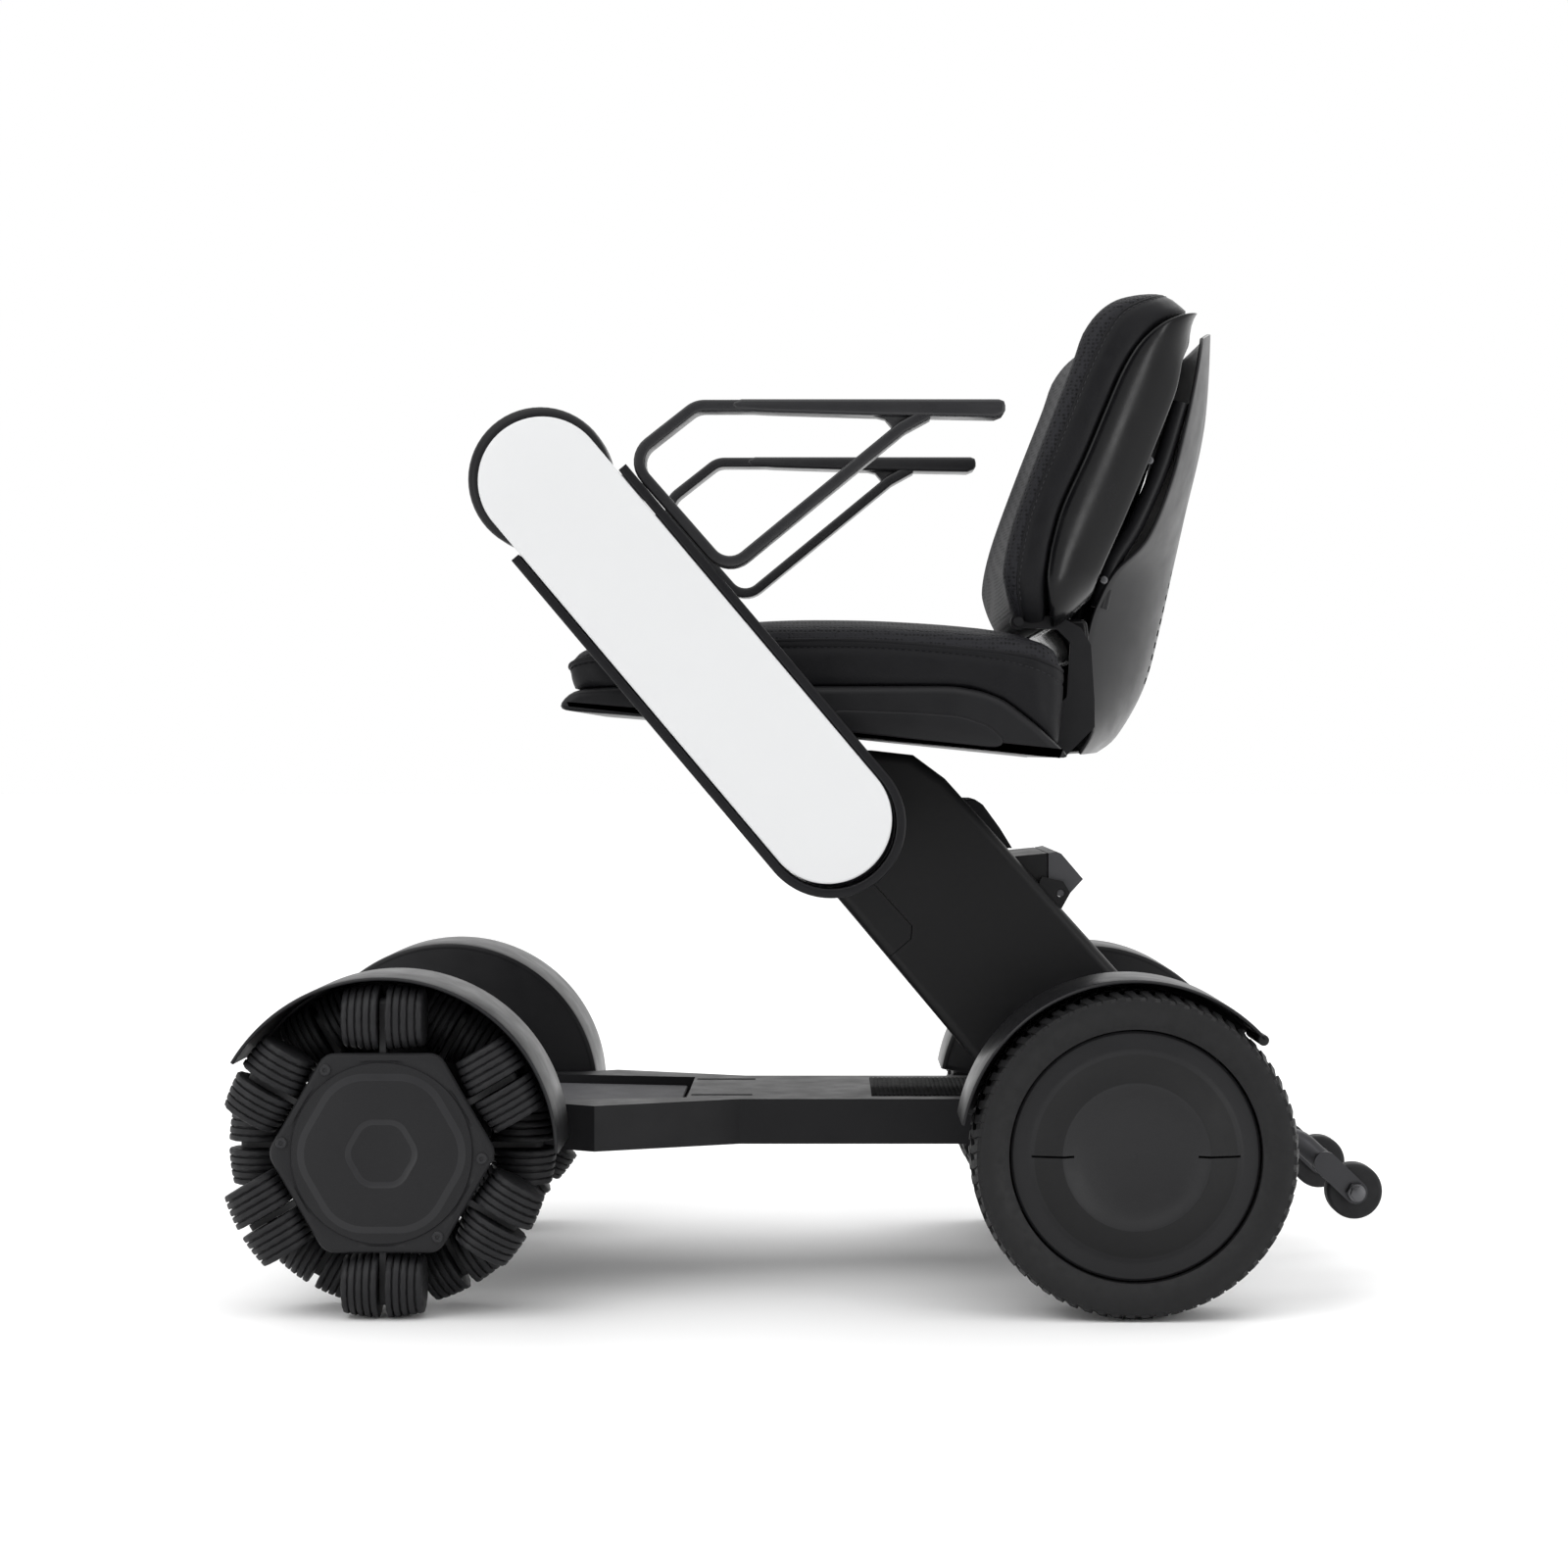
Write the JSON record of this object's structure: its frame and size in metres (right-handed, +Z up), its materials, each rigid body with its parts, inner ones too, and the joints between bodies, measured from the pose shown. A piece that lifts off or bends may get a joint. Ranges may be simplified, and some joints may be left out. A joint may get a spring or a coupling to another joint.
{
  "type": "powered personal mobility chair",
  "caption": "Compact powered wheelchair with omni-directional front wheels, leaning column, padded seat and backrest, lift-up side arms and a slide-out battery.",
  "frame": {"origin": "on the floor below the middle of the chair", "axes": "+Z up, the chair faces -Y, +X to the rider's left; the wheel axles lie along X"},
  "size_m": [0.554, 0.953, 0.8263],
  "materials": {
    "deck": "satin dark coating",
    "tread": "fine ribbed mat",
    "base": "matte moulded",
    "motor": "cast, dark",
    "column": "satin moulded",
    "battery": "fine textured with soft grip",
    "lever": "satin grey",
    "steel": "turned",
    "bracket": "black powder coat",
    "fender": "satin moulded",
    "pan": "satin moulded",
    "seat_fabric": "spacer mesh with smooth border",
    "back_fabric": "spacer mesh with smooth border",
    "shell": "gloss black",
    "rear_panel": "satin moulded",
    "arm": "fine texture",
    "arm_panel": "satin white",
    "armrest": "soft touch",
    "joystick": "soft touch",
    "hub": "matte glass-filled",
    "hub_cover": "fine grain",
    "roller": "ribbed",
    "wheel": "satin moulded",
    "tyre": "block tread",
    "tip_tube": "black powder coat",
    "tip_roller": "smooth"
  },
  "bodies": {
    "chassis": {"platform": "deck", "foot_plate": "tread", "drive_base": "base", "gear_motors": "motor", "column_shell": "column", "column_cover": "column", "front_axle": "steel", "front_fenders": "fender", "rear_fenders": "fender", "seat_pan": "pan", "seat_cushion": "seat_fabric", "anti_tip_bars": "tip_tube", "hinge_brackets": "bracket"},
    "arm_left": {"arm_frame_left": "arm", "arm_panel_left": "arm_panel", "armrest_left": "armrest"},
    "arm_right": {"arm_frame_right": "arm", "arm_panel_right": "arm_panel", "armrest_right": "armrest"},
    "backrest": {"back_shell": "shell", "back_cushion": "back_fabric", "back_panel": "rear_panel"},
    "battery": {"battery": "battery"},
    "front_wheel_left": {"front_hub_left": "hub", "front_hub_cover_left": "hub_cover"},
    "front_wheel_right": {"front_hub_right": "hub", "front_hub_cover_right": "hub_cover"},
    "joystick_gimbal": {"joystick_gimbal": "joystick"},
    "joystick_knob": {"joystick_knob": "joystick"},
    "rear_wheel_left": {"rear_wheel_left": "wheel", "rear_tyre_left": "tyre"},
    "rear_wheel_right": {"rear_wheel_right": "wheel", "rear_tyre_right": "tyre"},
    "release_lever": {"release_lever": "lever"},
    "roller_left_01": {"roller_left_01": "roller"},
    "roller_left_02": {"roller_left_02": "roller"},
    "roller_left_03": {"roller_left_03": "roller"},
    "roller_left_04": {"roller_left_04": "roller"},
    "roller_left_05": {"roller_left_05": "roller"},
    "roller_left_06": {"roller_left_06": "roller"},
    "roller_left_07": {"roller_left_07": "roller"},
    "roller_left_08": {"roller_left_08": "roller"},
    "roller_left_09": {"roller_left_09": "roller"},
    "roller_left_10": {"roller_left_10": "roller"},
    "roller_left_11": {"roller_left_11": "roller"},
    "roller_left_12": {"roller_left_12": "roller"},
    "roller_right_01": {"roller_right_01": "roller"},
    "roller_right_02": {"roller_right_02": "roller"},
    "roller_right_03": {"roller_right_03": "roller"},
    "roller_right_04": {"roller_right_04": "roller"},
    "roller_right_05": {"roller_right_05": "roller"},
    "roller_right_06": {"roller_right_06": "roller"},
    "roller_right_07": {"roller_right_07": "roller"},
    "roller_right_08": {"roller_right_08": "roller"},
    "roller_right_09": {"roller_right_09": "roller"},
    "roller_right_10": {"roller_right_10": "roller"},
    "roller_right_11": {"roller_right_11": "roller"},
    "roller_right_12": {"roller_right_12": "roller"},
    "tip_roller_left": {"anti_tip_roller_left": "tip_roller"},
    "tip_roller_right": {"anti_tip_roller_right": "tip_roller"}
  },
  "joints": [
    {"name": "arm_left", "type": "hinge", "parent": "chassis", "child": "arm_left", "pos_m": [0.24, 0.011, 0.393], "axis": [-1, 0, 0], "range_deg": [0, 45]},
    {"name": "arm_right", "type": "hinge", "parent": "chassis", "child": "arm_right", "pos_m": [-0.24, 0.011, 0.393], "axis": [-1, 0, 0], "range_deg": [0, 45]},
    {"name": "backrest_fold", "type": "hinge", "parent": "chassis", "child": "backrest", "pos_m": [0, 0.166, 0.557], "axis": [1, 0, 0], "range_deg": [0, 75]},
    {"name": "battery_slide", "type": "slide", "parent": "chassis", "child": "battery", "axis": [0, 1, 0], "range_m": [0, 0.135]},
    {"name": "front_wheel_left", "type": "hinge", "parent": "chassis", "child": "front_wheel_left", "pos_m": [0.226, -0.344, 0.1325], "axis": [1, 0, 0], "continuous": true},
    {"name": "front_wheel_right", "type": "hinge", "parent": "chassis", "child": "front_wheel_right", "pos_m": [-0.226, -0.344, 0.1325], "axis": [1, 0, 0], "continuous": true},
    {"name": "joystick_pitch", "type": "hinge", "parent": "arm_right", "child": "joystick_gimbal", "pos_m": [-0.241, -0.231, 0.73], "axis": [1, 0, 0], "range_deg": [-18, 18], "stiffness_Nm_per_rad": 0.05},
    {"name": "joystick_roll", "type": "hinge", "parent": "joystick_gimbal", "child": "joystick_knob", "pos_m": [-0.241, -0.231, 0.73], "axis": [0, 1, 0], "range_deg": [-18, 18], "stiffness_Nm_per_rad": 0.05},
    {"name": "rear_wheel_left", "type": "hinge", "parent": "chassis", "child": "rear_wheel_left", "pos_m": [0.236, 0.252, 0.13], "axis": [1, 0, 0], "continuous": true},
    {"name": "rear_wheel_right", "type": "hinge", "parent": "chassis", "child": "rear_wheel_right", "pos_m": [-0.236, 0.252, 0.13], "axis": [1, 0, 0], "continuous": true},
    {"name": "release_lever", "type": "hinge", "parent": "chassis", "child": "release_lever", "pos_m": [0, 0.206, 0.33], "axis": [-1, 0, 0], "range_deg": [0, 25], "stiffness_Nm_per_rad": 0.6},
    {"name": "roller_left_01", "type": "hinge", "parent": "front_wheel_left", "child": "roller_left_01", "pos_m": [0.2495, -0.344, 0.2385], "axis": [0, -1, 0], "continuous": true},
    {"name": "roller_left_02", "type": "hinge", "parent": "front_wheel_left", "child": "roller_left_02", "pos_m": [0.2495, -0.2522, 0.1855], "axis": [0, -0.5, 0.866], "continuous": true},
    {"name": "roller_left_03", "type": "hinge", "parent": "front_wheel_left", "child": "roller_left_03", "pos_m": [0.2495, -0.2522, 0.0795], "axis": [0, 0.5, 0.866], "continuous": true},
    {"name": "roller_left_04", "type": "hinge", "parent": "front_wheel_left", "child": "roller_left_04", "pos_m": [0.2495, -0.344, 0.0265], "axis": [0, 1, 0], "continuous": true},
    {"name": "roller_left_05", "type": "hinge", "parent": "front_wheel_left", "child": "roller_left_05", "pos_m": [0.2495, -0.4358, 0.0795], "axis": [0, 0.5, -0.866], "continuous": true},
    {"name": "roller_left_06", "type": "hinge", "parent": "front_wheel_left", "child": "roller_left_06", "pos_m": [0.2495, -0.4358, 0.1855], "axis": [0, -0.5, -0.866], "continuous": true},
    {"name": "roller_left_07", "type": "hinge", "parent": "front_wheel_left", "child": "roller_left_07", "pos_m": [0.202, -0.291, 0.2243], "axis": [0, -0.866, 0.5], "continuous": true},
    {"name": "roller_left_08", "type": "hinge", "parent": "front_wheel_left", "child": "roller_left_08", "pos_m": [0.202, -0.238, 0.1325], "axis": [0, 0, 1], "continuous": true},
    {"name": "roller_left_09", "type": "hinge", "parent": "front_wheel_left", "child": "roller_left_09", "pos_m": [0.202, -0.291, 0.0407], "axis": [0, 0.866, 0.5], "continuous": true},
    {"name": "roller_left_10", "type": "hinge", "parent": "front_wheel_left", "child": "roller_left_10", "pos_m": [0.202, -0.397, 0.0407], "axis": [0, 0.866, -0.5], "continuous": true},
    {"name": "roller_left_11", "type": "hinge", "parent": "front_wheel_left", "child": "roller_left_11", "pos_m": [0.202, -0.45, 0.1325], "axis": [0, 0, -1], "continuous": true},
    {"name": "roller_left_12", "type": "hinge", "parent": "front_wheel_left", "child": "roller_left_12", "pos_m": [0.202, -0.397, 0.2243], "axis": [0, -0.866, -0.5], "continuous": true},
    {"name": "roller_right_01", "type": "hinge", "parent": "front_wheel_right", "child": "roller_right_01", "pos_m": [-0.2495, -0.344, 0.2385], "axis": [0, -1, 0], "continuous": true},
    {"name": "roller_right_02", "type": "hinge", "parent": "front_wheel_right", "child": "roller_right_02", "pos_m": [-0.2495, -0.2522, 0.1855], "axis": [0, -0.5, 0.866], "continuous": true},
    {"name": "roller_right_03", "type": "hinge", "parent": "front_wheel_right", "child": "roller_right_03", "pos_m": [-0.2495, -0.2522, 0.0795], "axis": [0, 0.5, 0.866], "continuous": true},
    {"name": "roller_right_04", "type": "hinge", "parent": "front_wheel_right", "child": "roller_right_04", "pos_m": [-0.2495, -0.344, 0.0265], "axis": [0, 1, 0], "continuous": true},
    {"name": "roller_right_05", "type": "hinge", "parent": "front_wheel_right", "child": "roller_right_05", "pos_m": [-0.2495, -0.4358, 0.0795], "axis": [0, 0.5, -0.866], "continuous": true},
    {"name": "roller_right_06", "type": "hinge", "parent": "front_wheel_right", "child": "roller_right_06", "pos_m": [-0.2495, -0.4358, 0.1855], "axis": [0, -0.5, -0.866], "continuous": true},
    {"name": "roller_right_07", "type": "hinge", "parent": "front_wheel_right", "child": "roller_right_07", "pos_m": [-0.202, -0.291, 0.2243], "axis": [0, -0.866, 0.5], "continuous": true},
    {"name": "roller_right_08", "type": "hinge", "parent": "front_wheel_right", "child": "roller_right_08", "pos_m": [-0.202, -0.238, 0.1325], "axis": [0, 0, 1], "continuous": true},
    {"name": "roller_right_09", "type": "hinge", "parent": "front_wheel_right", "child": "roller_right_09", "pos_m": [-0.202, -0.291, 0.0407], "axis": [0, 0.866, 0.5], "continuous": true},
    {"name": "roller_right_10", "type": "hinge", "parent": "front_wheel_right", "child": "roller_right_10", "pos_m": [-0.202, -0.397, 0.0407], "axis": [0, 0.866, -0.5], "continuous": true},
    {"name": "roller_right_11", "type": "hinge", "parent": "front_wheel_right", "child": "roller_right_11", "pos_m": [-0.202, -0.45, 0.1325], "axis": [0, 0, -1], "continuous": true},
    {"name": "roller_right_12", "type": "hinge", "parent": "front_wheel_right", "child": "roller_right_12", "pos_m": [-0.202, -0.397, 0.2243], "axis": [0, -0.866, -0.5], "continuous": true},
    {"name": "tip_roller_left", "type": "hinge", "parent": "chassis", "child": "tip_roller_left", "pos_m": [0.094, 0.453, 0.079], "axis": [1, 0, 0], "continuous": true},
    {"name": "tip_roller_right", "type": "hinge", "parent": "chassis", "child": "tip_roller_right", "pos_m": [-0.094, 0.453, 0.079], "axis": [1, 0, 0], "continuous": true}
  ]
}
